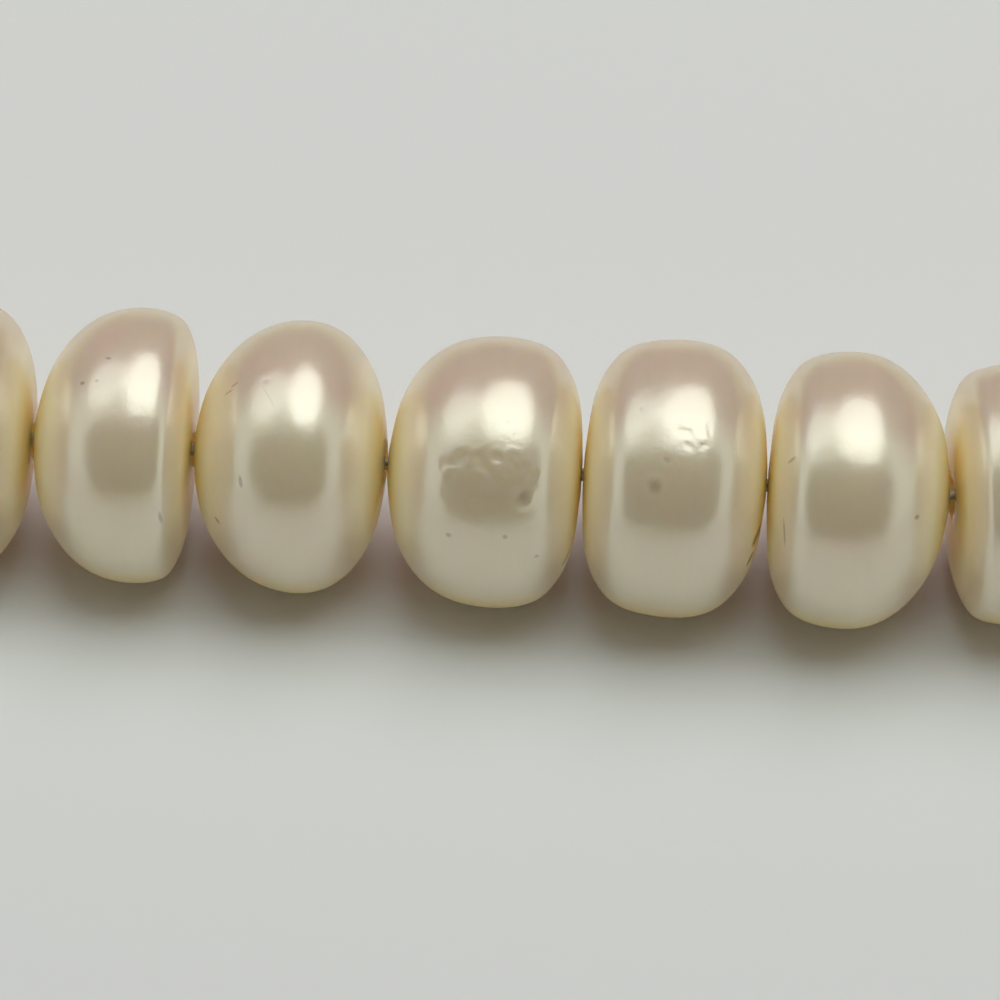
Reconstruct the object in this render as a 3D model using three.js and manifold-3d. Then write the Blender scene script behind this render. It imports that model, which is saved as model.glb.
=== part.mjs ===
// A single-strand bracelet of drilled button pearls, threaded face to face without knots and
// closed by a plain box clasp. It lies as one long loop on a flat surface, with +Z up and the
// origin in the middle of its footprint. All lengths are in millimetres.
//
// Places on the loop are counted along the thread from the middle of the front, positive to the
// right and anticlockwise as seen from above. A pearl's "left" and "right" are those of someone
// who stands outside the loop and looks at it.
import * as THREE from "three";
import { mergeVertices } from "three/addons/utils/BufferGeometryUtils.js";
import Module from "manifold-3d";

// ---- Driving dimensions -------------------------------------------------------------------

const PEARL_COUNT = 35;
const STRAIGHT = 27; // the straight stretch at the front, and the same again at the back
const SLIDE = 2; // from the middle of the front to the middle pearl, to the right
const PEARL_GAP = 0.03; // between neighbours, at the place where they come closest
const BORE_RADIUS = 0.5; // the drill hole through each pearl
const THREAD_RADIUS = 0.2;

const CLASP = {
  length: 11, // along the thread, without its collars
  height: 7, // across the thread, standing on its long edge
  thickness: 4.2,
  corner: 1.8,
  edge: 0.5, // rounding of the outer and inner faces' edges
  collarRadius: 1.1,
  collarLength: 1.4,
  socketRadius: 0.5,
  socketDepth: 3, // from the collar's mouth
};
const CLASP_SLACK = 0.5; // bare thread between a collar and the first pearl
const THREAD_END_GAP = 0.3; // between the thread's end and the bottom of its socket

// Facets: around a pearl, from its girdle to each drill hole, and on the thread.
const PEARL_SIDES = 16;
const BANDS_PER_HALF = 4;
const THREAD_SIDES = 8;
const THREAD_STEPS = 90;

// The seven button shapes of the front stretch. "across" is the diameter at the girdle; left and
// right are the depths of the two halves; a form of 2 is an ellipse, and a higher one is a flatter
// face with a squarer shoulder; "lean" tips the girdle out of square with the thread, in degrees;
// "out" is how far the pearl stands out of line, away from the middle of the loop.
const BUTTONS = {
  shouldered: button(7.42, 2.62, 2.15, 2.2, 2.6, 0.5, 0.0),
  halfMoon: button(7.48, 2.78, 1.54, 2.08, 3.6, 0.4, 0.0),
  egg: button(7.4, 2.93, 2.32, 2.06, 2.2, -1.6, 0.0),
  loaf: button(7.36, 2.93, 2.33, 2.28, 2.75, 0.1, 0.09),
  drum: button(7.53, 2.56, 2.4, 2.9, 2.45, 0.0, 0.0),
  capped: button(7.48, 2.24, 2.68, 3.0, 2.08, -0.4, 0.0),
  small: button(7.1, 2.0, 2.75, 4.0, 2.15, 0.6, -0.25),
};
const FRONT_ROW = ["shouldered", "halfMoon", "egg", "loaf", "drum", "capped", "small"];

function button(across, left, right, leftForm, rightForm, lean, out) {
  return { across, left, right, leftForm, rightForm, lean, out };
}

// ---- The strand's pearls ------------------------------------------------------------------

// The same button with its left and right ends changed over.
function turned(button) {
  return {
    ...button,
    left: button.right,
    right: button.left,
    leftForm: button.rightForm,
    rightForm: button.leftForm,
    lean: -button.lean,
  };
}

// The pearls in thread order. The front row sits in the middle; the others repeat its shapes in a
// mixed order, every third one turned, with sizes that wander by about one percent.
function choosePearls() {
  const names = Object.keys(BUTTONS);
  const firstInFront = (PEARL_COUNT - FRONT_ROW.length) / 2;
  return Array.from({ length: PEARL_COUNT }, (_, i) => {
    const front = FRONT_ROW[i - firstInFront];
    if (front) return { ...BUTTONS[front], deep: 1 };
    const button = BUTTONS[names[(3 * i + 2) % names.length]];
    const shape = i % 3 === 0 ? turned(button) : button;
    return {
      ...shape,
      across: shape.across * (1 + 0.012 * Math.sin(2.4 * i)),
      deep: 1 + 0.015 * Math.sin(1.7 * i), // out of round: depth over height
      out: 0.1 * Math.sin(2.9 * i),
    };
  });
}

// How far a half pearl reaches along a line that is "angle" away from its own axis.
function reach(depth, radius, form, angle) {
  const dual = form / (form - 1);
  const axial = (depth * Math.cos(angle)) ** dual;
  const radial = (radius * Math.sin(angle)) ** dual;
  return (axial + radial) ** (1 / dual);
}

// ---- The loop -----------------------------------------------------------------------------

// The point of the loop at a place along the thread, and the thread's heading there.
function loopAt(along, bendRadius) {
  const side = Math.sign(along) || 1;
  const distance = Math.abs(along);
  const bendStart = STRAIGHT / 2;
  const bendEnd = bendStart + Math.PI * bendRadius;
  const turn = THREE.MathUtils.clamp((distance - bendStart) / bendRadius, 0, Math.PI);
  const x =
    Math.min(distance, bendStart) + bendRadius * Math.sin(turn) - Math.max(distance - bendEnd, 0);
  return {
    point: new THREE.Vector3(side * x, -bendRadius * Math.cos(turn), 0),
    heading: side * turn,
  };
}

// Where a pearl sits at a place on the loop, and the heading of its axis.
function seatAt(along, pearl, bendRadius) {
  const { point, heading } = loopAt(along, bendRadius);
  const outward = new THREE.Vector3(Math.sin(heading), -Math.cos(heading), 0);
  return { point: point.addScaledVector(outward, pearl.out), heading };
}

// The angle between the pearl's axis and the line to its neighbour, with the pearl's lean.
function offAxis(heading, chord, lean) {
  const level = Math.atan2(chord.y, chord.x) - heading;
  const wrapped = Math.atan2(Math.sin(level), Math.cos(level));
  return Math.hypot(wrapped, THREE.MathUtils.degToRad(lean));
}

// The place of the next pearl to the right, so that the two all but touch.
function placeOfNext(along, pearl, next, bendRadius) {
  const here = seatAt(along, pearl, bendRadius);
  let guess = along + pearl.right + next.left + PEARL_GAP;
  for (let round = 0; round < 8; round++) {
    const there = seatAt(guess, next, bendRadius);
    const chord = there.point.clone().sub(here.point);
    const near = offAxis(here.heading, chord, pearl.lean);
    const far = offAxis(there.heading, chord, next.lean);
    const wanted =
      reach(pearl.right, (pearl.across * pearl.deep) / 2, pearl.rightForm, near) +
      reach(next.left, (next.across * next.deep) / 2, next.leftForm, far) +
      PEARL_GAP;
    guess += wanted - chord.length();
  }
  return guess;
}

// The places of all pearls, worked outwards from the middle one.
function placePearls(pearls, bendRadius) {
  const middle = (pearls.length - 1) / 2;
  const places = new Array(pearls.length).fill(SLIDE);
  for (let i = middle + 1; i < pearls.length; i++)
    places[i] = placeOfNext(places[i - 1], pearls[i - 1], pearls[i], bendRadius);
  // To the left the same rule holds in a mirror, where each pearl is turned.
  for (let i = middle - 1; i >= 0; i--)
    places[i] = -placeOfNext(-places[i + 1], turned(pearls[i + 1]), turned(pearls[i]), bendRadius);
  return places;
}

// What is left of the loop between the last pearl and the first, at the middle of the back.
function backGap(pearls, bendRadius) {
  const places = placePearls(pearls, bendRadius);
  const length = 2 * (STRAIGHT + Math.PI * bendRadius);
  const last = pearls.length - 1;
  const from = places[last] + pearls[last].right;
  const to = places[0] - pearls[0].left + length;
  return { places, length, from, to };
}

// The bends are as wide as the strung pearls and the clasp between them need.
function closeLoop(pearls) {
  const wanted = CLASP.length + 2 * (CLASP.collarLength + CLASP_SLACK);
  let [tight, wide] = [15, 30];
  for (let round = 0; round < 50; round++) {
    const middle = (tight + wide) / 2;
    const gap = backGap(pearls, middle);
    if (gap.to - gap.from < wanted) tight = middle;
    else wide = middle;
  }
  return { bendRadius: wide, ...backGap(pearls, wide) };
}

// ---- Shapes -------------------------------------------------------------------------------

// One half of a pearl's outline, from its drill hole to its girdle, as (radius, distance) points.
function halfOutline(depth, radius, form) {
  const power = 2 / form;
  const mouth = Math.asin((BORE_RADIUS / radius) ** (1 / power));
  return Array.from({ length: BANDS_PER_HALF + 1 }, (_, i) => {
    const t = mouth + ((Math.PI / 2 - mouth) * i) / BANDS_PER_HALF;
    return new THREE.Vector2(
      radius * Math.sin(t) ** power,
      i === BANDS_PER_HALF ? 0 : depth * Math.cos(t) ** power,
    );
  });
}

// A drilled button pearl with its hole along X, its girdle at X = 0 and its lowest point at Z = 0.
function pearlGeometry(pearl) {
  const radius = pearl.across / 2;
  const left = halfOutline(pearl.left, radius, pearl.leftForm);
  const right = halfOutline(pearl.right, radius, pearl.rightForm);
  const outline = [
    ...left.map((p) => new THREE.Vector2(p.x, -p.y)),
    ...right.reverse().slice(1).map((p) => p.clone()),
    new THREE.Vector2(left[0].x, -left[0].y), // back through the drill hole
  ];
  const geometry = new THREE.LatheGeometry(outline, PEARL_SIDES);
  geometry.rotateZ(-Math.PI / 2); // from around Y to around X
  geometry.scale(1, pearl.deep, 1);
  geometry.rotateY(THREE.MathUtils.degToRad(pearl.lean));
  geometry.computeBoundingBox();
  geometry.translate(0, 0, -geometry.boundingBox.min.z);
  return geometry;
}

// The thread, as a round cord through the given points.
function threadGeometry(points) {
  const section = new THREE.Shape();
  for (let i = 0; i < THREAD_SIDES; i++) {
    const angle = (2 * Math.PI * i) / THREAD_SIDES;
    const corner = [THREAD_RADIUS * Math.cos(angle), THREAD_RADIUS * Math.sin(angle)];
    if (i === 0) section.moveTo(...corner);
    else section.lineTo(...corner);
  }
  return new THREE.ExtrudeGeometry(section, {
    steps: THREAD_STEPS,
    extrudePath: new THREE.CatmullRomCurve3(points, false, "centripetal"),
  });
}

// The clasp's box: an upright plate with round corners, in the XZ plane, centred on the origin.
function claspBoxGeometry() {
  const { length, height, thickness, corner, edge } = CLASP;
  const [x, z] = [length / 2 - edge, height / 2 - edge];
  const round = corner - edge;
  const plate = new THREE.Shape();
  plate.absarc(x - round, z - round, round, 0, Math.PI / 2);
  plate.absarc(round - x, z - round, round, Math.PI / 2, Math.PI);
  plate.absarc(round - x, round - z, round, Math.PI, 1.5 * Math.PI);
  plate.absarc(x - round, round - z, round, 1.5 * Math.PI, 2 * Math.PI);
  const geometry = new THREE.ExtrudeGeometry(plate, {
    depth: thickness - 2 * edge,
    bevelThickness: edge,
    bevelSize: edge,
    bevelSegments: 2,
    curveSegments: 5,
  });
  geometry.translate(0, 0, edge - thickness / 2);
  return geometry.rotateX(Math.PI / 2);
}

// A round bar along X between two places.
function barGeometry(radius, from, to, sides = 16) {
  const bar = new THREE.CylinderGeometry(radius, radius, to - from, sides);
  return bar.rotateZ(Math.PI / 2).translate((from + to) / 2, 0, 0);
}

// The whole clasp: the box with a collar soldered on each end, drilled for the thread's ends.
async function claspGeometry() {
  const wasm = await Module();
  wasm.setup();
  const solid = (geometry) => {
    geometry.deleteAttribute("normal");
    geometry.deleteAttribute("uv");
    const merged = mergeVertices(geometry, 1e-4);
    return new wasm.Manifold(
      new wasm.Mesh({
        numProp: 3,
        vertProperties: merged.attributes.position.array,
        triVerts: new Uint32Array(merged.index.array),
      }),
    );
  };
  const end = CLASP.length / 2 + CLASP.collarLength;
  const beyond = end + 1;
  const cut = solid(claspBoxGeometry())
    .add(solid(barGeometry(CLASP.collarRadius, -end, end)))
    .subtract(solid(barGeometry(CLASP.socketRadius, end - CLASP.socketDepth, beyond, 12)))
    .subtract(solid(barGeometry(CLASP.socketRadius, -beyond, CLASP.socketDepth - end, 12)))
    .getMesh();
  return new THREE.BufferGeometry()
    .setAttribute("position", new THREE.BufferAttribute(cut.vertProperties, cut.numProp))
    .setIndex(new THREE.BufferAttribute(cut.triVerts, 1));
}

// ---- Materials ----------------------------------------------------------------------------

const nacre = () =>
  new THREE.MeshStandardMaterial({ color: 0xe8dfc6, roughness: 0.28, metalness: 0.15 });
const silk = new THREE.MeshStandardMaterial({ color: 0xf1ece0, roughness: 0.75, metalness: 0 });
const silver = new THREE.MeshStandardMaterial({ color: 0xc9c7c1, roughness: 0.22, metalness: 1 });

// ---- The bracelet -------------------------------------------------------------------------

function named(name, geometry, material) {
  const mesh = new THREE.Mesh(geometry, material);
  mesh.name = name;
  return mesh;
}

const bracelet = new THREE.Group();
const pearls = choosePearls();
const loop = closeLoop(pearls);

const pearlCentres = pearls.map((pearl, i) => {
  const { point, heading } = seatAt(loop.places[i], pearl, loop.bendRadius);
  const mesh = named(`pearl_${String(i + 1).padStart(2, "0")}`, pearlGeometry(pearl), nacre());
  mesh.position.copy(point);
  mesh.rotation.z = heading;
  bracelet.add(mesh);
  return point.setZ(mesh.geometry.boundingBox.max.z / 2);
});

// The clasp fills the middle of the gap at the back; its own X points along the thread there.
const claspPlace = (loop.from + loop.to) / 2;
const clasp = named("clasp", await claspGeometry(), silver);
clasp.position.set(loop.length / 2 - claspPlace, loop.bendRadius, CLASP.height / 2);
clasp.rotation.z = Math.PI;
bracelet.add(clasp);

// The thread leaves one socket, runs through every pearl and ends in the other socket.
const socketBottom = CLASP.length / 2 + CLASP.collarLength - CLASP.socketDepth;
const threadEnd = socketBottom + THREAD_END_GAP;
const collarMouth = CLASP.length / 2 + CLASP.collarLength;
const fromClasp = (x) => clasp.position.clone().add(new THREE.Vector3(x, 0, 0));
bracelet.add(
  named(
    "thread",
    threadGeometry([
      fromClasp(-threadEnd),
      fromClasp(-collarMouth),
      ...pearlCentres,
      fromClasp(collarMouth),
      fromClasp(threadEnd),
    ]),
    silk,
  ),
);

// The origin is in the middle of the footprint.
const footprint = new THREE.Box3().setFromObject(bracelet, true);
const middle = footprint.getCenter(new THREE.Vector3());
bracelet.position.set(-middle.x, -middle.y, -footprint.min.z);

export default bracelet;
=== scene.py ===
"""The looks of a single-strand bracelet of button pearls on silk, with a plain silver box clasp.

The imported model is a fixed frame: every pearl, the thread and the clasp get a finished piece in
the same place. Lengths in the settings and tables are in millimetres unless a name says metres;
Blender's own units are metres, +Z is up and the front stretch of pearls faces -Y.
"""

import math
from functools import cache

import bmesh
import bpy
import numpy as np
from bpy.props import FloatProperty, FloatVectorProperty, IntProperty, PointerProperty
from mathutils import Matrix, Vector, noise
from mathutils.geometry import interpolate_bezier


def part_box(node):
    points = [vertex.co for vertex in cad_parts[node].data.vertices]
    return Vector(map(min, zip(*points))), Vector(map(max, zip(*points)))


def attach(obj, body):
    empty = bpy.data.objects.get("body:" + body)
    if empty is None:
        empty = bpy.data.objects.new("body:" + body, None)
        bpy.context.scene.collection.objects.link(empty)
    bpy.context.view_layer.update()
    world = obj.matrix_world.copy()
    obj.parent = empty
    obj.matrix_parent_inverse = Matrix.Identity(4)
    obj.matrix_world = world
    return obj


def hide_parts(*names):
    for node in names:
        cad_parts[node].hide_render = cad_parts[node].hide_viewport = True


bl_info = {
    "name": "Pearl Bracelet",
    "version": (1, 0, 0),
    "blender": (4, 5, 0),
    "location": "3D View > Sidebar > Bracelet",
    "description": "Finishes a strand of button pearls with its silk thread and box clasp",
    "category": "Object",
}

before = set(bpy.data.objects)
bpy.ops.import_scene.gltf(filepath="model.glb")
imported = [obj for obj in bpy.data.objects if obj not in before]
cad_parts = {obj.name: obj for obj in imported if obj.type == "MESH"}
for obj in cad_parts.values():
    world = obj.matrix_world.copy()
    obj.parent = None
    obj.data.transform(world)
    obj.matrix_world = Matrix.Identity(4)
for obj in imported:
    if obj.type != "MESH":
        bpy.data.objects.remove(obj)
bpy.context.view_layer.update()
MM = 0.001
TOUCHING = 0.001 * MM  # points closer than this are one
UP = Vector((0, 0, 1))
PEARLS = sorted(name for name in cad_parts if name.startswith("pearl_"))

# The five pearls in the middle of the front, seen closest, get the finest surface.
FRONT = PEARLS[15:20]
HALF_MOON, EGG, LOAF, DRUM, CAPPED = FRONT

# The drill hole's mouths lie nearer the axis than this share of a pearl's radius.
MOUTH = 0.2

# Blemishes of the front pearls. "along" is millimetres from the girdle to the right, "around" is
# degrees from the outward side (0) over the top (90); "long" and "wide" are its full size in
# millimetres, "turn" tips it clockwise, and "deep" is how far it sinks, in hundredths of one.
MARKS = [
    # pearl, kind, along, around, long, wide, turn, deep
    (HALF_MOON, "speck", -0.62, 85, 0.22, 0.12, 20, 0.4),
    (HALF_MOON, "speck", -1.25, 74, 0.16, 0.14, 0, 0.4),
    (HALF_MOON, "speck", -0.85, 74, 0.14, 0.14, 0, 0.4),
    (HALF_MOON, "speck", 1.05, 14, 0.5, 0.1, 80, 0.3),
    (EGG, "speck", -1.65, 83, 0.26, 0.1, -20, 0.4),
    (EGG, "speck", -1.8, 80, 0.3, 0.07, -10, 0.3),
    (EGG, "pit", -0.78, 80, 0.24, 0.22, 0, 1.2),
    (EGG, "scratch", -0.65, 72, 0.9, 0.06, 60, 0.6),
    (EGG, "stain", -1.3, 34, 0.4, 0.12, 82, 0.6),
    (EGG, "speck", -2.0, 6, 0.22, 0.14, 30, 0.5),
    (LOAF, "pit", 0.33, 68, 0.2, 0.2, 0, 1.2),
    (LOAF, "pit", 0.52, 63, 0.16, 0.16, 0, 1.0),
    (LOAF, "wrinkle", -0.1, 45, 3.0, 1.7, -4, 1.9),
    (LOAF, "ring", 0.86, 37, 0.6, 0.6, 0, 2.6),
    (LOAF, "speck", -1.05, 17, 0.2, 0.16, 0, 0.4),
    (LOAF, "speck", 0.45, 19, 0.16, 0.16, 0, 0.3),
    (LOAF, "speck", 1.3, 7, 0.16, 0.12, 0, 0.3),
    (LOAF, "stain", 2.05, -21, 0.22, 0.16, 0, 0.4),
    (DRUM, "pit", -1.1, 76, 0.24, 0.14, 80, 1.2),
    (DRUM, "wrinkle", 0.3, 66, 1.0, 0.9, 40, 1.8),
    (DRUM, "pit", -0.35, 54, 0.3, 0.2, 20, 1.4),
    (DRUM, "ring", -0.62, 43, 0.6, 0.6, 0, 2.2),
    (DRUM, "stain", 2.2, -1, 0.5, 0.26, 75, 1.5),
    (DRUM, "stain", 2.05, -13, 0.34, 0.2, 100, 1.0),
    (CAPPED, "stain", -1.7, 60, 0.26, 0.11, -35, 0.5),
    (CAPPED, "speck", -1.78, 22, 0.9, 0.06, 84, 0.2),
    (CAPPED, "speck", 1.68, 35, 0.16, 0.16, 0, 0.3),
]

# How each kind of mark is stained: the share of the stain's colour, and where the stain is whole
# and where it ends, in half sizes of the mark.
STAINING = {
    "speck": (0.7, 0.4, 1.1),
    "stain": (0.8, 0.6, 1.1),
    "pit": (0.3, 0.2, 1.0),
    "scratch": (0.3, 0.5, 1.1),
    "ring": (0.4, 0.1, 0.9),
    "wrinkle": (0.07, 0.6, 1.1),
}

# Level soft lights overhead: name, place and size in metres, radiance and tint.
LIGHTS = [
    ("key", (0.107, 0.09, 0.5), (0.44, 0.63), 2.1, (0.97, 1, 0.94)),
    ("fill", (-0.38, 0.12, 0.5), (0.55, 0.47), 0.95, (0.94, 1, 0.96)),
]

# The board round the lens: how far off it hangs, in camera distances.
BOARD_FAR = 2.7
# Its width, its height, its shift to the right and up and the radius of its corners, all in parts
# of how far off it is.
BOARD_WIDTH, BOARD_HEIGHT = 3.2, 1.48
BOARD_RIGHT, BOARD_UP = -0.05, -0.25
BOARD_CORNER = 0.6


# ---- Settings -----------------------------------------------------------------------------


def colour(name, description, default):
    return FloatVectorProperty(
        name=name, description=description, default=default, subtype="COLOR", min=0, max=1
    )


def length(name, description, default_mm):
    return FloatProperty(
        name=name, description=description, default=default_mm * MM, unit="LENGTH", min=0,
        precision=5,
    )


def share(name, description, default):
    return FloatProperty(
        name=name, description=description, default=default, subtype="FACTOR", min=0, max=1
    )


class NacreSettings(bpy.types.PropertyGroup):
    body: colour("Body", "Colour of the pearls", (0.585, 0.505, 0.35))
    blush: colour("Blush", "Rosy clouds in the body colour", (0.635, 0.48, 0.365))
    # Painted glow: the lighter, warmer flank colour and the amber drill-hole colour stand in for
    # light that nacre carries inside and that touching pearls throw on each other. The same amber
    # laid on the underside stands in for light shining through the pearl.
    painted_flank_glow: colour("Cream", "Colour of the flanks", (1.0, 0.77, 0.52))
    painted_glow: colour("Honey", "Colour round the drill holes", (1.0, 0.65, 0.29))
    stain: colour("Stain", "Colour of specks and stains", (0.12, 0.09, 0.05))
    sheen: colour("Sheen", "Tint of what the layers reflect", (1.0, 0.97, 0.84))
    mirror: share("Mirror", "Share of the light that the layers reflect", 0.32)
    roughness: share("Roughness", "Softness of the reflections", 0.245)
    glow: length("Glow", "How far light travels under the surface", 10)
    waves: length("Waves", "Height of the broad unevenness", 0.018)
    front_levels: IntProperty(
        name="Front detail", description="Subdivisions of the front pearls", default=4, min=1, max=4
    )
    levels: IntProperty(
        name="Detail", description="Subdivisions of the other pearls", default=3, min=1, max=4
    )


class SilkSettings(bpy.types.PropertyGroup):
    colour: colour("Colour", "Colour of the silk", (0.96, 0.76, 0.42))
    hollows: colour("Hollows", "Colour between its fibres", (0.70, 0.52, 0.28))
    thickness: length("Thickness", "Thickness of the whole thread", 0.4)
    lay: length("Lay", "Length in which the plies turn once", 1.4)
    end: length("End", "How far the thread goes into the clasp at each end", 2.7)
    plies: IntProperty(name="Plies", description="Strands in the thread", default=3, min=2, max=4)


class ClaspSettings(bpy.types.PropertyGroup):
    silver: colour("Silver", "Colour of the polished metal", (0.83, 0.81, 0.77))
    tarnish: colour("Tarnish", "Colour in the recesses", (0.20, 0.17, 0.14))
    collar: length("Collar", "Length of each collar", 1.4)
    corner: length("Corner", "Radius of the box's corners", 1.8)
    edge: length("Edge", "Radius of the box's long edges", 0.5)
    border: length("Border", "Width of the rim round each face", 0.75)
    recess: length("Recess", "Depth of each face inside its rim", 0.14)
    seam: length("Seam", "Width of the seam round the box", 0.12)
    tongue: length("Tongue", "From the seam to the box's right end", 2.6)


class StageSettings(bpy.types.PropertyGroup):
    floor: colour("Floor", "Colour of the floor", (0.72, 0.745, 0.73))
    fleck: colour("Fleck", "Colour of the floor's faint clouds", (0.60, 0.61, 0.60))
    room: colour("Room", "Light from in front", (0.65, 0.69, 0.64))
    wall: colour("Wall", "Light from behind", (0.17, 0.05, 0.13))
    board: colour("Board", "Colour of the board round the lens", (0.012, 0.012, 0.01))
    lens: colour("Lens", "Colour of the board's middle", (0.06, 0.035, 0.025))
    elevation: FloatProperty(
        name="Elevation", description="Camera above the floor", default=math.radians(47),
        subtype="ANGLE",
    )
    azimuth: FloatProperty(
        name="Azimuth", description="Camera round the bracelet, to the right",
        default=math.radians(2.5), subtype="ANGLE",
    )
    roll: FloatProperty(
        name="Roll", description="Camera tipped anticlockwise", default=math.radians(1.8),
        subtype="ANGLE",
    )
    distance: length("Distance", "From the middle pearl to the camera", 130)
    width: length("Width", "Width of the view at the middle pearl", 27.1)
    drop: length("Drop", "From the middle pearl down to the middle of the view", 0.76)
    shift: length("Shift", "From the middle pearl right to the middle of the view", 0.11)
    gamma: FloatProperty(name="Gamma", description="Lift of the dark tones", default=1.25, min=0.1)


# ---- Shader maths -------------------------------------------------------------------------


class Wire:
    """A shader output that takes part in Python arithmetic by adding Math nodes."""

    def __init__(self, shader, socket):
        self.shader = shader
        self.socket = socket

    def _math(self, operation, first, second):
        return self.shader.add("Math", {"operation": operation}, {0: first, 1: second})

    def __add__(self, other):
        return self._math("ADD", self, other)

    __radd__ = __add__

    def __sub__(self, other):
        return self._math("SUBTRACT", self, other)

    def __rsub__(self, other):
        return self._math("SUBTRACT", other, self)

    def __mul__(self, other):
        return self._math("MULTIPLY", self, other)

    __rmul__ = __mul__

    def larger(self, other):
        return self._math("MAXIMUM", self, other)

    def step(self, start, end):
        """0 below start, 1 above end and a soft rise between; start may be the larger one."""
        return self.shader.add(
            "MapRange",
            {"interpolation_type": "SMOOTHSTEP"},
            {"Value": self, "From Min": start, "From Max": end},
        )


class Shader:
    """The nodes of a material, or of a world, under construction."""

    def __init__(self, owner):
        self.owner = owner
        owner.use_nodes = True
        self.tree = owner.node_tree
        self.tree.nodes.clear()
        is_world = isinstance(owner, bpy.types.World)
        self.place = self.add("TexCoord", output="Generated" if is_world else "Object")

    def add(self, kind, settings=None, sockets=None, output=0):
        """A node of that kind. Its settings are set first, then its sockets, given by name or
        number, are given a value or a link. Returns the named or numbered output."""
        node = self.tree.nodes.new("ShaderNode" + kind)
        for key, value in (settings or {}).items():
            setattr(node, key, value)
        for key, value in (sockets or {}).items():
            if isinstance(key, str):
                socket = next(s for s in node.inputs if s.name == key and s.enabled)
            else:
                socket = node.inputs[key]
            if isinstance(value, Wire):
                self.tree.links.new(value.socket, socket)
            else:
                socket.default_value = value
        if isinstance(output, str):
            return Wire(self, next(s for s in node.outputs if s.name == output and s.enabled))
        return Wire(self, node.outputs[output]) if node.outputs else None

    def noise(self, size_mm, detail=2.0, roughness=0.5, stretch=(1, 1, 1)):
        """Noise from 0 to 1 with clouds of about that size."""
        vector = self.place
        if stretch != (1, 1, 1):
            vector = self.add("Mapping", None, {"Vector": vector, "Scale": stretch})
        return self.add(
            "TexNoise",
            None,
            {"Vector": vector, "Scale": 1 / (size_mm * MM), "Detail": detail,
             "Roughness": roughness},
        )

    def attribute(self, name):
        return self.add("Attribute", {"attribute_name": name}, output="Fac")

    def mix(self, factor, first, second):
        """Two colours, each a wire or three numbers, mixed by a factor."""
        sides = [c if isinstance(c, Wire) else (*c, 1) for c in (first, second)]
        return self.add(
            "Mix",
            {"data_type": "RGBA"},
            {"Factor": factor, "A": sides[0], "B": sides[1]},
            output="Result",
        )

    def bump(self, height_mm):
        """A bump whose height is given in millimetres."""
        return self.add("Bump", None, {"Distance": MM, "Height": height_mm}, output="Normal")

    def finish(self, sockets):
        surface = self.add("BsdfPrincipled", None, sockets)
        self.add("OutputMaterial", None, {"Surface": surface})
        return self.owner


# ---- Meshes -------------------------------------------------------------------------------


def piece_from(name, mesh, material, slot, *nodes):
    """A finished piece that stands for CAD nodes and rides with the bracelet."""
    mesh.name = name
    mesh.materials.clear()
    mesh.materials.append(material)
    mesh.shade_smooth()
    piece = bpy.data.objects.new(name, mesh)
    bpy.context.scene.collection.objects.link(piece)
    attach(piece, "root")
    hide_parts(*nodes)
    return piece


def mesh_from(bm, name):
    bmesh.ops.recalc_face_normals(bm, faces=bm.faces)
    mesh = bpy.data.meshes.new(name)
    bm.to_mesh(mesh)
    bm.free()
    return mesh


def points_of(mesh):
    flat = np.zeros(len(mesh.vertices) * 3)
    mesh.vertices.foreach_get("co", flat)
    return flat.reshape(-1, 3)


def smoothstep(x, start, end):
    t = np.clip((x - start) / (end - start), 0, 1)
    return t * t * (3 - 2 * t)


# ---- Pearls -------------------------------------------------------------------------------


class PearlPlace:
    """How one pearl lies: its middle at the girdle, its axis and its outward and upward sides."""

    def __init__(self, name):
        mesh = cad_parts[name].data
        points = np.unique(points_of(mesh).round(8), axis=0)
        areas = np.array([face.area for face in mesh.polygons])
        centres = np.array([face.center for face in mesh.polygons])
        centre = areas @ centres / areas.sum()
        # A button's skin spreads least along its axis.
        spread = (centres - centre).T @ ((centres - centre) * areas[:, None])
        axis = Vector(np.linalg.eigh(spread)[1][:, 0])
        anticlockwise = Vector((-centre[1], centre[0], 0))
        if axis.dot(anticlockwise) < 0:
            axis.negate()
        self.axis = axis
        self.up = (UP - axis * axis.z).normalized()
        self.outward = axis.cross(self.up)
        self.middle = Vector(centre)
        along, off = self.measure(points)
        self.radius = off.max()
        self.middle += axis * along[off > 0.999 * self.radius].mean()
        self.profile = self.measure(points)

    def measure(self, points):
        """How far points are along the axis from the girdle, and how far off the axis."""
        offset = points - np.array(self.middle)
        along = offset @ np.array(self.axis)
        off = np.linalg.norm(offset - np.outer(along, self.axis), axis=1)
        return along, off

    def spot(self, along_mm, around, turn):
        """The frame of a place on the skin: its X and Y lie in the skin and its Z points out."""
        out = self.outward * math.cos(around) + self.up * math.sin(around)
        order = np.argsort(self.profile[0])
        along = along_mm * MM
        outer = self.profile[1][order] > MOUTH * self.radius
        off = np.interp(along, self.profile[0][order][outer], self.profile[1][order][outer])
        across = out.cross(self.axis)
        x = self.axis * math.cos(turn) - across * math.sin(turn)
        y = out.cross(x)
        place = self.middle + self.axis * along + out * off
        return Matrix.Translation(place) @ Matrix((x, y, out)).transposed().to_4x4()


@cache
def place_of(name):
    return PearlPlace(name)


def quad_cage(node):
    """A copy of a pearl's CAD mesh as a closed cage of four-sided faces."""
    cage = bmesh.new()
    cage.from_mesh(node.data)
    bmesh.ops.remove_doubles(cage, verts=cage.verts, dist=TOUCHING)
    bmesh.ops.join_triangles(
        cage, faces=cage.faces, angle_face_threshold=math.radians(0.3),
        angle_shape_threshold=math.pi,
    )
    return cage


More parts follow.
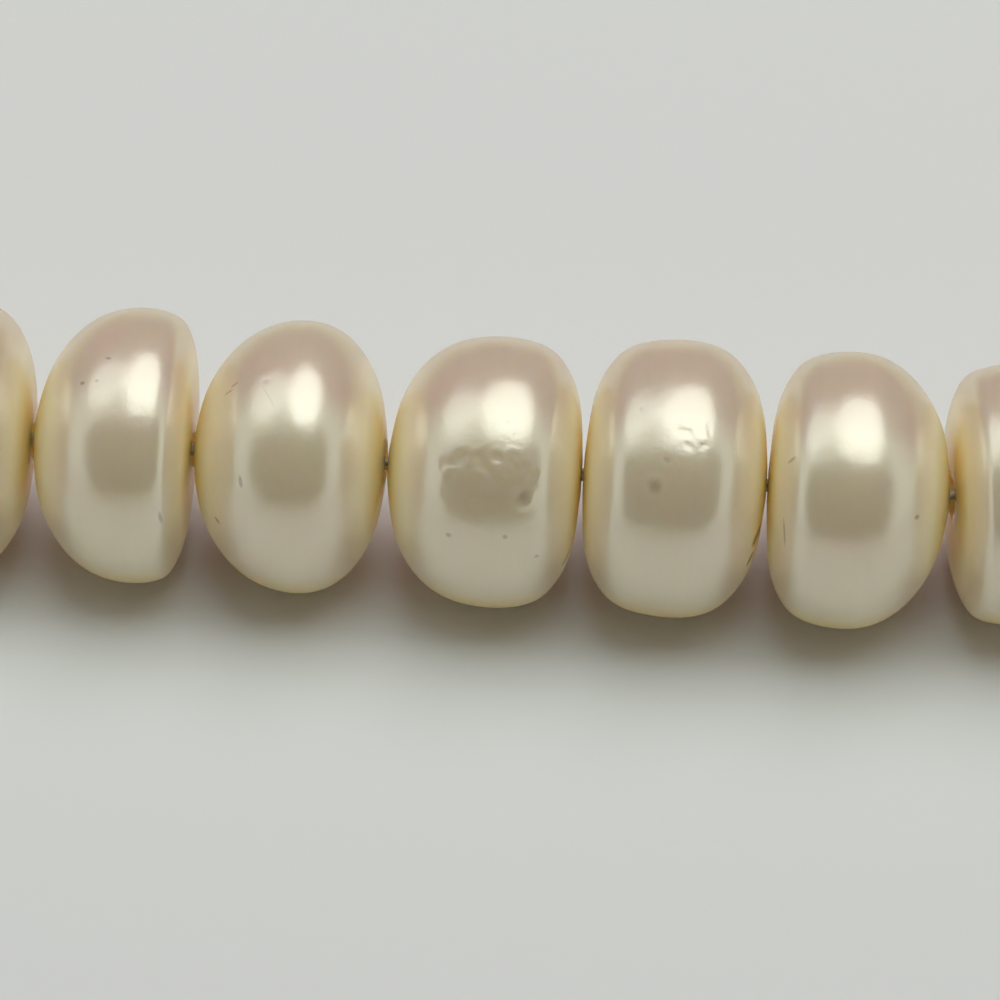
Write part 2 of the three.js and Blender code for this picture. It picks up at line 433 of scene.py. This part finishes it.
def crease_mouths(cage, place):
    """Sharpens the two rims of the drill hole, and gives each rim vertex's neighbours on it."""
    crease = cage.edges.layers.float.new("crease_edge")
    along, off = place.measure(np.array([v.co for v in cage.verts]))
    at_mouth = off < MOUTH * place.radius
    rims = {}
    cage.verts.index_update()
    for edge in cage.edges:
        one, other = edge.verts
        same_end = along[one.index] * along[other.index] > 0
        if at_mouth[one.index] and at_mouth[other.index] and same_end:
            edge[crease] = 1
            rims.setdefault(one, []).append(other)
            rims.setdefault(other, []).append(one)
    return rims


def limit_place(vertex, rims):
    """Where endless subdivision takes a vertex of the cage, whose inner ones have four edges."""
    if vertex in rims:
        return (4 * vertex.co + rims[vertex][0].co + rims[vertex][1].co) / 6
    near = sum((e.other_vert(vertex).co for e in vertex.link_edges), Vector())
    far = Vector()
    for loop in vertex.link_loops:
        far += loop.link_loop_next.link_loop_next.vert.co
    return (16 * vertex.co + 4 * near + far) / 36


def fit_cage(cage, rims, rounds=4):
    """Swells the cage until the smooth surface passes through the CAD model's own corners."""
    corners = {v: v.co.copy() for v in cage.verts}
    for _ in range(rounds):
        moved = {v: v.co + corner - limit_place(v, rims) for v, corner in corners.items()}
        for vertex, co in moved.items():
            vertex.co = co


def subdivided(cage, name, levels):
    """The cage's smooth surface as a plain mesh."""
    mesh = mesh_from(cage, name)
    for layer in ("custom_normal", "sharp_edge", "sharp_face"):
        if layer in mesh.attributes:
            mesh.attributes.remove(mesh.attributes[layer])
    helper = bpy.data.objects.new(name, mesh)
    bpy.context.scene.collection.objects.link(helper)
    smooth = helper.modifiers.new("Smooth", "SUBSURF")
    smooth.levels = smooth.render_levels = levels
    graph = bpy.context.evaluated_depsgraph_get()
    finished = bpy.data.meshes.new_from_object(helper.evaluated_get(graph))
    bpy.data.objects.remove(helper)
    bpy.data.meshes.remove(mesh)
    return finished


def wave(point, size_mm):
    return noise.noise(point / (size_mm * MM))


def mark_relief(kind, local, points):
    """The height of a mark's relief, from -1 to 1. "local" is where the points lie in the mark's
    own frame, in half sizes of the mark."""
    distance = np.linalg.norm(local[:, :2], axis=1)
    if kind == "ring":
        return np.exp(-((distance - 0.8) / 0.3) ** 2) - 0.8 * np.exp(-((distance / 0.45) ** 2))
    if kind == "wrinkle":
        inside = 1 - smoothstep(distance, 0.75, 1.1)
        ripples = np.array([
            abs(wave(Vector(p), 0.42)) + 0.5 * abs(wave(Vector(p), 0.2)) if w > 0 else 0
            for p, w in zip(points, inside)
        ])
        return inside * (0.9 - 3.2 * ripples)
    return -np.exp(-2 * distance**2)


def sculpt(mesh, place, marks, settings):
    """Moves the surface in and out by broad unevenness and each mark's relief, and stores what
    the colours follow: "along" the axis, and "under" the pearl and near the drill "hole" for the
    painted glow."""
    points = points_of(mesh)
    normals = np.zeros(points.size)
    mesh.vertex_normals.foreach_get("vector", normals)
    normals = normals.reshape(-1, 3)
    along, off = place.measure(points)
    away = smoothstep(off, MOUTH * place.radius, 0.5 * place.radius)
    uneven = np.array([wave(Vector(p), 3.2) + 0.3 * wave(Vector(p), 0.9) for p in points])
    lift = settings.waves * uneven * away
    for kind, spot, size, deep in marks:
        frame = np.array(spot.inverted())
        local = points @ frame[:3, :3].T + frame[:3, 3]
        near = (np.abs(local) < np.array([*size, 1.5 * MM])).all(axis=1)
        scaled = local[near] / np.array([size[0] / 2, size[1] / 2, 1])
        lift[near] += deep * mark_relief(kind, scaled, points[near])
    mesh.vertices.foreach_set("co", (points + normals * lift[:, None]).ravel())
    for name, values in (
        ("along", along / (np.abs(along).max())),
        ("under", smoothstep(-normals[:, 2], 0.2, 0.7)),
        ("hole", 1 - smoothstep(off, 0.18 * place.radius, 0.95 * place.radius)),
    ):
        layer = mesh.attributes.new(name, "FLOAT", "POINT")
        layer.data.foreach_set("value", values.astype(np.float32))
    mesh.update()


def nacre(name, settings, marks):
    """Layered pearl: part mirror and part softly glowing body colour, with clouds, fine grain and
    marks, and painted glow on its flanks, round its drill holes and on its underside.
    """
    shader = Shader(bpy.data.materials.new(name))
    clouds = shader.noise(3.5, 2).step(0.42, 0.68)
    body = shader.mix(clouds * 0.5, settings.body, settings.blush)
    # Painted glow: the flanks turn lighter and warmer and the drill-hole rims amber, standing in
    # for light passed between touching pearls.
    hole = shader.attribute("hole")
    body = shader.mix(hole.step(0.02, 0.4), body, settings.painted_flank_glow)
    body = shader.mix(hole.step(0.3, 0.9), body, settings.painted_glow)
    # Painted glow: the underside turns amber, standing in for light that shines through the pearl
    # onto the floor.
    body = shader.mix(shader.attribute("under"), body, settings.painted_glow)
    rings = shader.add(
        "TexNoise", {"noise_dimensions": "1D"},
        {"W": shader.attribute("along"), "Scale": 9, "Detail": 3},
    )
    body = shader.mix((rings - 0.5) * 0.10, body, settings.stain)
    grain = shader.noise(0.14, 2, 0.6)
    for kind, spot, size, _ in marks:
        amount, inner, outer = STAINING[kind]
        local = shader.add(
            "Mapping", {"vector_type": "TEXTURE"},
            {"Vector": shader.place, "Location": spot.translation,
             "Rotation": spot.to_euler(), "Scale": (size[0] / 2, size[1] / 2, 1.2 * MM)},
        )
        distance = shader.add("VectorMath", {"operation": "LENGTH"}, {0: local}, output="Value")
        frayed = distance + (grain - 0.5) * 0.5
        mask = frayed.step(outer, inner)
        body = shader.mix(mask * amount, body, settings.stain)
    height = shader.noise(0.7, 1) * 0.010 + grain * 0.0032 + rings * 0.002
    return shader.finish({
        "Base Color": body,
        "IOR": (1 + math.sqrt(settings.mirror)) / (1 - math.sqrt(settings.mirror)),
        "Specular Tint": (*settings.sheen, 1),
        "Roughness": grain * 0.02 + settings.roughness,
        "Subsurface Weight": 1.0,
        "Subsurface Radius": (1.0, 0.6, 0.3),
        "Subsurface Scale": settings.glow,
        "Normal": shader.bump(height),
    })


def marks_of(name, place):
    """The marks of one pearl as (kind, frame, size in metres, depth in metres)."""
    return [
        (kind, place.spot(along, math.radians(around), math.radians(turn)),
         (long * MM, wide * MM), deep * 0.01 * MM)
        for pearl, kind, along, around, long, wide, turn, deep in MARKS
        if pearl == name
    ]


class BRACELET_OT_pearls(bpy.types.Operator):
    """Finish every pearl of the strand"""

    bl_idname = "bracelet.pearls"
    bl_label = "Pearls"

    def execute(self, context):
        settings = context.scene.bracelet_nacre
        plain = nacre("nacre", settings, [])
        for name in PEARLS:
            place = place_of(name)
            marks = marks_of(name, place)
            cage = quad_cage(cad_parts[name])
            fit_cage(cage, crease_mouths(cage, place))
            levels = settings.front_levels if name in FRONT else settings.levels
            mesh = subdivided(cage, name, levels)
            sculpt(mesh, place, marks, settings)
            material = nacre(f"nacre_{name}", settings, marks) if marks else plain
            piece_from(f"nacre_{name}", mesh, material, "nacre", name)
        return {"FINISHED"}


# ---- Thread -------------------------------------------------------------------------------


def thread_route(settings):
    """Points along the thread, eight to each turn of its plies, from one end of the clasp to the
    other."""
    places = [place_of(name) for name in PEARLS]
    clasp_low, clasp_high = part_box("clasp")
    clasp = (clasp_low + clasp_high) / 2
    inside = clasp_high.x - clasp.x - settings.end
    along = Vector((1, 0, 0))
    stations = [(clasp - along * inside, -along)]
    stations += [(p.middle, p.axis) for p in places]
    stations += [(clasp + along * inside, -along)]
    route = []
    for (start, from_), (end, to) in zip(stations, stations[1:]):
        third = (end - start).length / 3
        count = max(2, round(3 * third / (settings.lay / 8)))
        route += interpolate_bezier(start, start + from_ * third, end - to * third, end, count)[:-1]
    return route + [stations[-1][0]]


def plies(route, settings):
    """The thread's plies as a mesh, wound round the route."""
    ply_radius = settings.thickness / 2 / (1 + 1 / math.sin(math.pi / settings.plies))
    orbit = settings.thickness / 2 - ply_radius
    curve = bpy.data.curves.new("silk", "CURVE")
    curve.dimensions = "3D"
    curve.bevel_depth = ply_radius
    curve.bevel_resolution = 1
    curve.use_fill_caps = True
    for ply in range(settings.plies):
        spline = curve.splines.new("POLY")
        spline.points.add(len(route) - 1)
        travelled = 0
        for i, point in enumerate(route):
            travelled += (point - route[max(i - 1, 0)]).length
            heading = (route[min(i + 1, len(route) - 1)] - route[max(i - 1, 0)]).normalized()
            side = heading.cross(UP).normalized()
            turn = 2 * math.pi * (travelled / settings.lay + ply / settings.plies)
            offset = side * math.cos(turn) + side.cross(heading) * math.sin(turn)
            spline.points[i].co = (*(point + offset * orbit), 1)
    helper = bpy.data.objects.new("silk", curve)
    mesh = bpy.data.meshes.new_from_object(helper)
    bpy.data.objects.remove(helper)
    return mesh


def silk(settings):
    shader = Shader(bpy.data.materials.new("silk"))
    fibre = shader.noise(0.05, 3, stretch=(0.3, 1, 1))
    return shader.finish({
        "Base Color": shader.mix(fibre * 0.35, settings.colour, settings.hollows),
        "Roughness": 0.6,
        "Normal": shader.bump(fibre * 0.012),
    })


class BRACELET_OT_thread(bpy.types.Operator):
    """Twist the silk thread through all pearls"""

    bl_idname = "bracelet.thread"
    bl_label = "Thread"

    def execute(self, context):
        settings = context.scene.bracelet_silk
        mesh = plies(thread_route(settings), settings)
        piece_from("silk_thread", mesh, silk(settings), "silk", "thread")
        return {"FINISHED"}


# ---- Clasp --------------------------------------------------------------------------------


def flat_edges(bm, direction):
    """Edges that run along a direction."""
    return [
        e for e in bm.edges
        if abs((e.verts[0].co - e.verts[1].co).normalized().dot(direction)) > 0.999
    ]


def clasp_box(bm, size, settings):
    """The box: round corners, soft edges and a sunk field on both faces."""
    made = bmesh.ops.create_cube(bm, size=1)["verts"]
    bmesh.ops.scale(bm, vec=size, verts=made)
    bevel = {"affect": "EDGES", "profile": 0.5, "material": -1, "clamp_overlap": True}
    bmesh.ops.bevel(
        bm, geom=flat_edges(bm, Vector((0, 1, 0))), offset=settings.corner, segments=8, **bevel
    )
    faces = [f for f in bm.faces if abs(f.normal.y) > 0.99]
    outline = list({e for f in faces for e in f.edges})
    bmesh.ops.bevel(bm, geom=outline, offset=settings.edge, segments=4, **bevel)
    for side in (-1, 1):
        face = max(bm.faces, key=lambda f: f.calc_area() * (f.normal.y * side > 0.99))
        rim = settings.border - settings.edge
        bmesh.ops.inset_region(bm, faces=[face], thickness=rim)
        bmesh.ops.inset_region(
            bm, faces=[face], thickness=settings.recess, depth=-settings.recess
        )


def cut_seam(bm, at, width):
    """A groove right round the box, where its tongue half meets its socket half."""
    for offset in (-0.5, -0.3, 0.3, 0.5):
        bmesh.ops.bisect_plane(
            bm, geom=[*bm.verts, *bm.edges, *bm.faces], plane_no=(1, 0, 0),
            plane_co=(at + offset * width, 0, 0), dist=TOUCHING,
        )
    bm.normal_update()
    for vertex in bm.verts:
        if abs(vertex.co.x - at) < 0.4 * width:
            vertex.co -= vertex.normal * width


def collar_profile(box_end, mouth):
    """The collar's outline beside its own axis, as (along, off) points in millimetres: up from
    the bottom of its socket, round its lip, down its neck and into the box."""
    bore, neck, lip, foot = 0.5, 0.95, 1.1, 1.25
    bottom, root = box_end - 1.6, box_end - 1.8
    return [
        (bottom, 0), (bottom, bore), (mouth - 0.12, bore), (mouth - 0.03, 0.56),
        (mouth, 0.68), (mouth, neck), (mouth - 0.05, 1.05), (mouth - 0.15, lip),
        (mouth - 0.35, lip), (mouth - 0.45, 1.05), (mouth - 0.5, neck), (box_end + 0.3, neck),
        (box_end + 0.15, 1.0), (box_end + 0.05, 1.1), (box_end, foot), (box_end - 0.3, foot),
        (root, 0.8), (root, 0),
    ]


def add_collar(bm, side, box_end, mouth):
    """One turned collar with its drilled socket, on one end of the box."""
    corners = [
        bm.verts.new((side * along * MM, off * MM, 0))
        for along, off in collar_profile(box_end, mouth)
    ]
    edges = [bm.edges.new(pair) for pair in zip(corners, corners[1:])]
    bmesh.ops.spin(
        bm, geom=corners + edges, axis=(1, 0, 0), cent=(0, 0, 0), angle=2 * math.pi, steps=40,
        use_merge=True,
    )


def silver(settings):
    """Polished silver with fine scratches and a little tarnish where it is sunk."""
    shader = Shader(bpy.data.materials.new("silver"))
    scratches = shader.noise(0.12, 3, 0.6, stretch=(0.06, 1, 1))
    clouds = shader.noise(2.2, 3)
    sunk = shader.attribute("sunk")
    dirt = (sunk * (0.35 + clouds * 0.5)).larger(clouds.step(0.62, 0.8) * 0.12)
    return shader.finish({
        "Base Color": shader.mix(dirt, settings.silver, settings.tarnish),
        "Metallic": 1.0,
        "Roughness": scratches * 0.16 + sunk * 0.15 + 0.12,
        "Normal": shader.bump(scratches * 0.003 + shader.noise(0.8, 2) * 0.004),
    })


class BRACELET_OT_clasp(bpy.types.Operator):
    """Shape the silver box clasp"""

    bl_idname = "bracelet.clasp"
    bl_label = "Clasp"

    def execute(self, context):
        settings = context.scene.bracelet_clasp
        low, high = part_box("clasp")
        middle = (low + high) / 2
        size = high - low - Vector((2 * settings.collar, 0, 0))
        bm = bmesh.new()
        clasp_box(bm, size, settings)
        cut_seam(bm, size.x / 2 - settings.tongue, settings.seam)
        box_end = size.x / 2 / MM
        for side in (-1, 1):
            add_collar(bm, side, box_end, box_end + settings.collar / MM)
        bmesh.ops.remove_doubles(bm, verts=bm.verts, dist=TOUCHING)
        mesh = mesh_from(bm, "silver_clasp")
        self.mark_sunk(mesh, size, settings)
        mesh.transform(Matrix.Translation(middle))
        clasp = piece_from("silver_clasp", mesh, silver(settings), "silver", "clasp")
        clasp.data.set_sharp_from_angle(angle=math.radians(40))
        return {"FINISHED"}

    def mark_sunk(self, mesh, size, settings):
        """Stores how much each place lies in a recess, for the tarnish."""
        points = points_of(mesh)
        field = (np.abs(points[:, 0]) < size.x / 2 - settings.border) & (
            np.abs(points[:, 1]) < size.y / 2 - settings.recess * 0.8
        ) & (np.abs(points[:, 2]) < size.z / 2 - settings.border)
        seam = np.abs(points[:, 0] - (size.x / 2 - settings.tongue)) < settings.seam * 0.4
        layer = mesh.attributes.new("sunk", "FLOAT", "POINT")
        layer.data.foreach_set("value", np.where(seam, 1.0, field * 0.5).astype(np.float32))


# ---- Stage --------------------------------------------------------------------------------


def aimed(location, target, roll=0.0):
    """A place whose -Z axis points at the target, with its own X level and then rolled."""
    turn = (location - target).to_track_quat("Z", "Y")
    return Matrix.Translation(location) @ turn.to_matrix().to_4x4() @ Matrix.Rotation(roll, 4, "Z")


def from_angles(azimuth, elevation, distance):
    """A point round the origin; azimuth 0 is in front, and positive goes to the right."""
    level = math.cos(elevation) * distance
    return Vector(
        (math.sin(azimuth) * level, -math.cos(azimuth) * level, math.sin(elevation) * distance)
    )


def soft_light(name, location, size, radiance, tint):
    """A level oval soft light that sends out an even radiance."""
    light = bpy.data.lights.new(name, "AREA")
    light.shape = "ELLIPSE"
    light.size, light.size_y = size
    light.energy = radiance * math.pi**2 / 4 * size[0] * size[1]
    light.color = tint
    lamp = bpy.data.objects.new(name, light)
    lamp.location = location
    lamp.visible_camera = False
    bpy.context.scene.collection.objects.link(lamp)


def place_camera(settings, target):
    """The camera, aimed a little below and to the right of the middle pearl."""
    camera = bpy.data.cameras.new("camera")
    camera.sensor_width = 36
    camera.lens = camera.sensor_width / settings.width * settings.distance
    camera.clip_start, camera.clip_end = 0.005, 20
    seen = bpy.data.objects.new("camera", camera)
    back = from_angles(settings.azimuth, settings.elevation, 1)
    turn = aimed(back, Vector(), settings.roll).to_3x3()
    aim = target + turn @ Vector((settings.shift, -settings.drop, 0))
    seen.matrix_world = Matrix.Translation(aim + back * settings.distance) @ turn.to_4x4()
    bpy.context.scene.collection.objects.link(seen)
    bpy.context.scene.camera = seen


def paper(settings):
    shader = Shader(bpy.data.materials.new("paper"))
    fibre = shader.noise(0.6, 4)
    return shader.finish({
        "Base Color": shader.mix(fibre * 0.06, settings.floor, settings.fleck),
        "Roughness": 0.75,
        "Normal": shader.bump(shader.noise(0.25, 3) * 0.006),
    })


def lay_floor(settings):
    bm = bmesh.new()
    bmesh.ops.create_grid(bm, x_segments=1, y_segments=1, size=4)
    floor = bpy.data.objects.new("floor", mesh_from(bm, "floor"))
    floor.data.materials.append(paper(settings))
    bpy.context.scene.collection.objects.link(floor)


def hang_board(settings, target):
    """A dark board round the lens, warmer in its middle."""
    reach = settings.distance * BOARD_FAR
    bm = bmesh.new()
    bmesh.ops.create_grid(bm, x_segments=1, y_segments=1, size=0.5)
    bmesh.ops.scale(bm, vec=(BOARD_WIDTH * reach, BOARD_HEIGHT * reach, 1), verts=bm.verts)
    bmesh.ops.translate(bm, vec=(BOARD_RIGHT * reach, BOARD_UP * reach, 0), verts=bm.verts)
    bmesh.ops.bevel(
        bm, geom=bm.verts, offset=BOARD_CORNER * reach, segments=12, profile=0.5, affect="VERTICES",
        material=-1,
    )
    board = bpy.data.objects.new("lens_shade", mesh_from(bm, "lens_shade"))
    back = from_angles(settings.azimuth, settings.elevation, reach)
    board.matrix_world = aimed(target + back, target, settings.roll)
    shader = Shader(bpy.data.materials.new("lens_shade"))
    far = shader.add("VectorMath", {"operation": "LENGTH"}, {0: shader.place}, output="Value")
    warm = far.step(0.9 * reach, 0.1 * reach)
    board.data.materials.append(shader.finish({
        "Base Color": shader.mix(warm, settings.board, settings.lens),
        "Roughness": 1.0,
    }))
    bpy.context.scene.collection.objects.link(board)
    board.visible_camera = False


def fill_room(settings):
    """Even light from all round, dimmer and rosier from the wall behind."""
    world = bpy.data.worlds.new("room")
    bpy.context.scene.world = world
    shader = Shader(world)
    direction = shader.add("SeparateXYZ", None, {0: shader.place}, output="Y")
    colour = shader.mix(direction.step(0.0, 0.5), settings.room, settings.wall)
    light = shader.add("Background", None, {"Color": colour})
    shader.add("OutputWorld", None, {"Surface": light})


class BRACELET_OT_stage(bpy.types.Operator):
    """Set the floor, the soft lights and the camera"""

    bl_idname = "bracelet.stage"
    bl_label = "Stage"

    def execute(self, context):
        settings = context.scene.bracelet_stage
        middle = place_of(LOAF).middle
        lay_floor(settings)
        place_camera(settings, middle)
        hang_board(settings, middle)
        fill_room(settings)
        for light in LIGHTS:
            soft_light(*light)
        context.scene.view_settings.view_transform = "Standard"
        context.scene.view_settings.gamma = settings.gamma
        return {"FINISHED"}


# ---- Panel and registration ---------------------------------------------------------------

STEPS = (BRACELET_OT_pearls, BRACELET_OT_thread, BRACELET_OT_clasp, BRACELET_OT_stage)
GROUPS = {
    "bracelet_nacre": NacreSettings,
    "bracelet_silk": SilkSettings,
    "bracelet_clasp": ClaspSettings,
    "bracelet_stage": StageSettings,
}


class BRACELET_PT_sidebar(bpy.types.Panel):
    bl_label = "Pearl Bracelet"
    bl_space_type = "VIEW_3D"
    bl_region_type = "UI"
    bl_category = "Bracelet"

    def draw(self, context):
        for group, step in zip(GROUPS, STEPS):
            box = self.layout.box()
            box.operator(step.bl_idname)
            settings = getattr(context.scene, group)
            for name in settings.bl_rna.properties.keys():
                if name not in ("rna_type", "name"):
                    box.prop(settings, name)


def register():
    for group, kind in GROUPS.items():
        bpy.utils.register_class(kind)
        setattr(bpy.types.Scene, group, PointerProperty(type=kind))
    for kind in (*STEPS, BRACELET_PT_sidebar):
        bpy.utils.register_class(kind)


def unregister():
    for kind in (BRACELET_PT_sidebar, *reversed(STEPS)):
        bpy.utils.unregister_class(kind)
    for group, kind in GROUPS.items():
        delattr(bpy.types.Scene, group)
        bpy.utils.unregister_class(kind)


def main():
    register()
    for step in ("pearls", "thread", "clasp", "stage"):
        getattr(bpy.ops.bracelet, step)()


if __name__ == "__main__":
    main()
